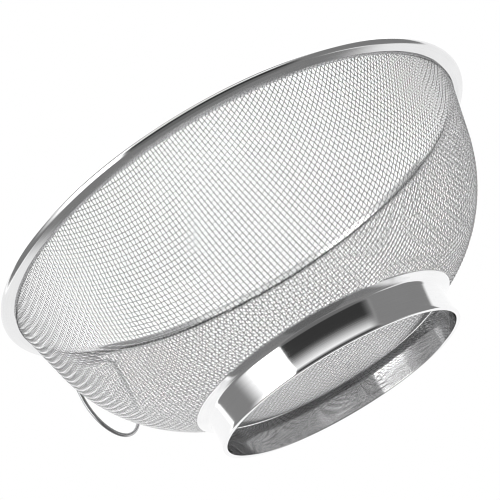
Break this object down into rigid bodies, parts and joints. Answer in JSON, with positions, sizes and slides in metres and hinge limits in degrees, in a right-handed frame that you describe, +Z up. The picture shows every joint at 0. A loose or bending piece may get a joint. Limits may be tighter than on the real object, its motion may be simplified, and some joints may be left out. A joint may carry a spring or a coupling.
{
  "type": "mesh strainer bowl",
  "caption": "Round woven steel mesh bowl with a rolled rim, a spun foot ring and a swinging wire hanging loop.",
  "frame": {"origin": "Centre of the circle that the foot stands on, at the bottom centre of the bounding box.", "axes": "+Z is up, along the bowl's axis, out of its mouth. +X points from the axis to the hanging loop. +Y completes the right-handed frame."},
  "size_m": [0.24, 0.24, 0.098],
  "materials": {
    "woven_steel": "satin wire cloth",
    "rim_steel": "polished",
    "foot_steel": "polished",
    "hidden_steel": "as drawn",
    "loop_steel": "polished wire"
  },
  "bodies": {
    "strainer": {"mesh_bowl": "woven_steel", "rim_band": "rim_steel", "rim_core_wire": "hidden_steel", "foot_ring": "foot_steel", "foot_inner_ring": "hidden_steel", "loop_clip": "loop_steel"},
    "loop": {"hanging_loop": "loop_steel"}
  },
  "joints": [
    {"name": "loop_swing", "type": "hinge", "parent": "strainer", "child": "loop", "pos_m": [0.1175, 0, 0.0908], "axis": [0, -1, 0], "range_deg": [-20, 135]}
  ]
}
